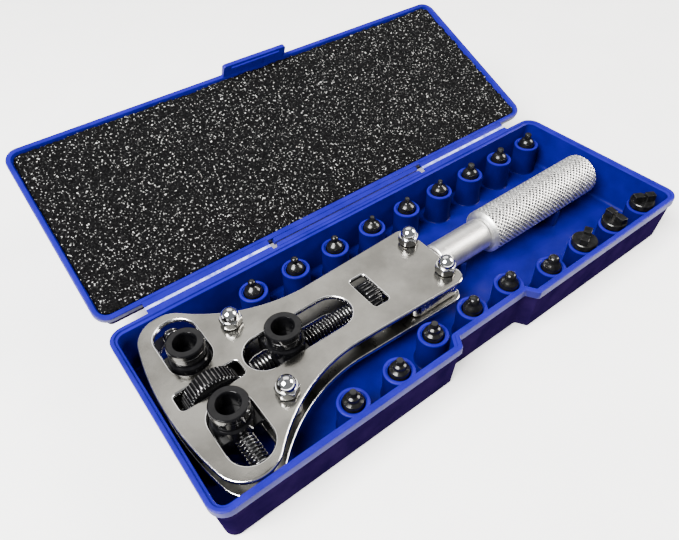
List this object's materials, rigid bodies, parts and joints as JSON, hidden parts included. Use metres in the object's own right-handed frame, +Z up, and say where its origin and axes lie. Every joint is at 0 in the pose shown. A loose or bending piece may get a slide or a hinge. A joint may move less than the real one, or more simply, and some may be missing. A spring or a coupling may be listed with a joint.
{
  "type": "watch case back opener set",
  "caption": "Three-jaw watch case back opener with screw-driven chucks and a knurled handle, lying with its spare tips in a hinged plastic case with a foam-lined lid.",
  "frame": {"origin": "centre of the tray's underside, on the surface the case stands on", "axes": "+X along the case towards the end of the handle, +Y towards the lid's fold, +Z up"},
  "size_m": [0.168, 0.123, 0.0475],
  "materials": {
    "case_plastic": "moulded royal blue plastic, satin",
    "foam": "charcoal open-cell foam",
    "plate_steel": "nickel-plated steel plate, polished edges",
    "handle_steel": "satin stem, diamond-knurled grip",
    "nut_chrome": "polished chrome plate",
    "black_oxide": "black oxide steel"
  },
  "bodies": {
    "case": {"case_base": "case_plastic"},
    "lid": {"case_lid": "case_plastic", "lid_foam": "foam"},
    "opener": {"top_plate": "plate_steel", "bottom_plate": "plate_steel", "neck_block": "plate_steel", "handle_stem": "handle_steel", "handle_grip": "handle_steel", "spacer_post_front_left": "plate_steel", "spacer_post_front_right": "plate_steel", "bolt_front_left": "nut_chrome", "bolt_front_right": "nut_chrome", "bolt_rear_left": "nut_chrome", "bolt_rear_right": "nut_chrome", "acorn_nut_front_left": "nut_chrome", "acorn_nut_front_right": "nut_chrome", "acorn_nut_rear_left": "nut_chrome", "acorn_nut_rear_right": "nut_chrome"},
    "front_screw": {"front_screw": "black_oxide", "front_thumbwheel": "black_oxide"},
    "front_jaw_left": {"front_jaw_left_slider": "black_oxide", "front_jaw_left_chuck": "black_oxide"},
    "front_jaw_right": {"front_jaw_right_slider": "black_oxide", "front_jaw_right_chuck": "black_oxide"},
    "rear_screw": {"rear_screw": "black_oxide", "rear_thumbwheel": "black_oxide"},
    "rear_jaw": {"rear_jaw_slider": "black_oxide", "rear_jaw_chuck": "black_oxide"},
    "tip_ball_1": {"tip_ball_1": "black_oxide"},
    "tip_ball_2": {"tip_ball_2": "black_oxide"},
    "tip_ball_3": {"tip_ball_3": "black_oxide"},
    "tip_pin_1": {"tip_pin_1": "black_oxide"},
    "tip_pin_2": {"tip_pin_2": "black_oxide"},
    "tip_pin_3": {"tip_pin_3": "black_oxide"},
    "tip_peg_1": {"tip_peg_1": "black_oxide"},
    "tip_peg_2": {"tip_peg_2": "black_oxide"},
    "tip_peg_3": {"tip_peg_3": "black_oxide"},
    "tip_step_1": {"tip_step_1": "black_oxide"},
    "tip_step_2": {"tip_step_2": "black_oxide"},
    "tip_step_3": {"tip_step_3": "black_oxide"},
    "tip_stud_1": {"tip_stud_1": "black_oxide"},
    "tip_stud_2": {"tip_stud_2": "black_oxide"},
    "tip_stud_3": {"tip_stud_3": "black_oxide"},
    "tip_blade_1": {"tip_blade_1": "black_oxide"},
    "tip_blade_2": {"tip_blade_2": "black_oxide"},
    "tip_blade_3": {"tip_blade_3": "black_oxide"}
  },
  "joints": [
    {"name": "case_lid_fold", "type": "hinge", "parent": "case", "child": "lid", "pos_m": [0, 0.0324, 0.01715], "axis": [-1, 0, 0], "range_deg": [-155.4, 0], "deforming": ["lid_foam"]},
    {"name": "front_jaw_left_travel", "type": "slide", "parent": "opener", "child": "front_jaw_left", "axis": [0, 1, 0], "range_m": [-0.0004, 0.0082]},
    {"name": "front_jaw_right_travel", "type": "slide", "parent": "opener", "child": "front_jaw_right", "axis": [0, -1, 0], "range_m": [-0.0004, 0.0082]},
    {"name": "front_screw_turn", "type": "hinge", "parent": "opener", "child": "front_screw", "pos_m": [-0.069, 0, 0.012], "axis": [0, 1, 0], "range_deg": [-144, 2952]},
    {"name": "opener_lift_out", "type": "slide", "parent": "case", "child": "opener", "axis": [0, 0, 1], "range_m": [0, 0.06]},
    {"name": "rear_jaw_travel", "type": "slide", "parent": "opener", "child": "rear_jaw", "axis": [1, 0, 0], "range_m": [-0.0058, 0.0148]},
    {"name": "rear_screw_turn", "type": "hinge", "parent": "opener", "child": "rear_screw", "pos_m": [-0.069, 0, 0.012], "axis": [-1, 0, 0], "range_deg": [-2088, 5328]},
    {"name": "tip_ball_1_lift_out", "type": "slide", "parent": "case", "child": "tip_ball_1", "axis": [0, 0, 1], "range_m": [0, 0.02]},
    {"name": "tip_ball_2_lift_out", "type": "slide", "parent": "case", "child": "tip_ball_2", "axis": [0, 0, 1], "range_m": [0, 0.02]},
    {"name": "tip_ball_3_lift_out", "type": "slide", "parent": "case", "child": "tip_ball_3", "axis": [0, 0, 1], "range_m": [0, 0.02]},
    {"name": "tip_pin_1_lift_out", "type": "slide", "parent": "case", "child": "tip_pin_1", "axis": [0, 0, 1], "range_m": [0, 0.02]},
    {"name": "tip_pin_2_lift_out", "type": "slide", "parent": "case", "child": "tip_pin_2", "axis": [0, 0, 1], "range_m": [0, 0.02]},
    {"name": "tip_pin_3_lift_out", "type": "slide", "parent": "case", "child": "tip_pin_3", "axis": [0, 0, 1], "range_m": [0, 0.02]},
    {"name": "tip_peg_1_lift_out", "type": "slide", "parent": "case", "child": "tip_peg_1", "axis": [0, 0, 1], "range_m": [0, 0.02]},
    {"name": "tip_peg_2_lift_out", "type": "slide", "parent": "case", "child": "tip_peg_2", "axis": [0, 0, 1], "range_m": [0, 0.02]},
    {"name": "tip_peg_3_lift_out", "type": "slide", "parent": "case", "child": "tip_peg_3", "axis": [0, 0, 1], "range_m": [0, 0.02]},
    {"name": "tip_step_1_lift_out", "type": "slide", "parent": "case", "child": "tip_step_1", "axis": [0, 0, 1], "range_m": [0, 0.02]},
    {"name": "tip_step_2_lift_out", "type": "slide", "parent": "case", "child": "tip_step_2", "axis": [0, 0, 1], "range_m": [0, 0.02]},
    {"name": "tip_step_3_lift_out", "type": "slide", "parent": "case", "child": "tip_step_3", "axis": [0, 0, 1], "range_m": [0, 0.02]},
    {"name": "tip_stud_1_lift_out", "type": "slide", "parent": "case", "child": "tip_stud_1", "axis": [0, 0, 1], "range_m": [0, 0.02]},
    {"name": "tip_stud_2_lift_out", "type": "slide", "parent": "case", "child": "tip_stud_2", "axis": [0, 0, 1], "range_m": [0, 0.02]},
    {"name": "tip_stud_3_lift_out", "type": "slide", "parent": "case", "child": "tip_stud_3", "axis": [0, 0, 1], "range_m": [0, 0.02]},
    {"name": "tip_blade_1_lift_out", "type": "slide", "parent": "case", "child": "tip_blade_1", "axis": [0, 0, 1], "range_m": [0, 0.02]},
    {"name": "tip_blade_2_lift_out", "type": "slide", "parent": "case", "child": "tip_blade_2", "axis": [0, 0, 1], "range_m": [0, 0.02]},
    {"name": "tip_blade_3_lift_out", "type": "slide", "parent": "case", "child": "tip_blade_3", "axis": [0, 0, 1], "range_m": [0, 0.02]}
  ],
  "couplings": [
    {"joint": "front_jaw_left_travel", "follows": "front_screw_turn", "m_per_rad": 0.00015915},
    {"joint": "front_jaw_right_travel", "follows": "front_screw_turn", "m_per_rad": 0.00015915},
    {"joint": "rear_screw_turn", "follows": "rear_jaw_travel", "rad_per_m": 6283.2}
  ]
}
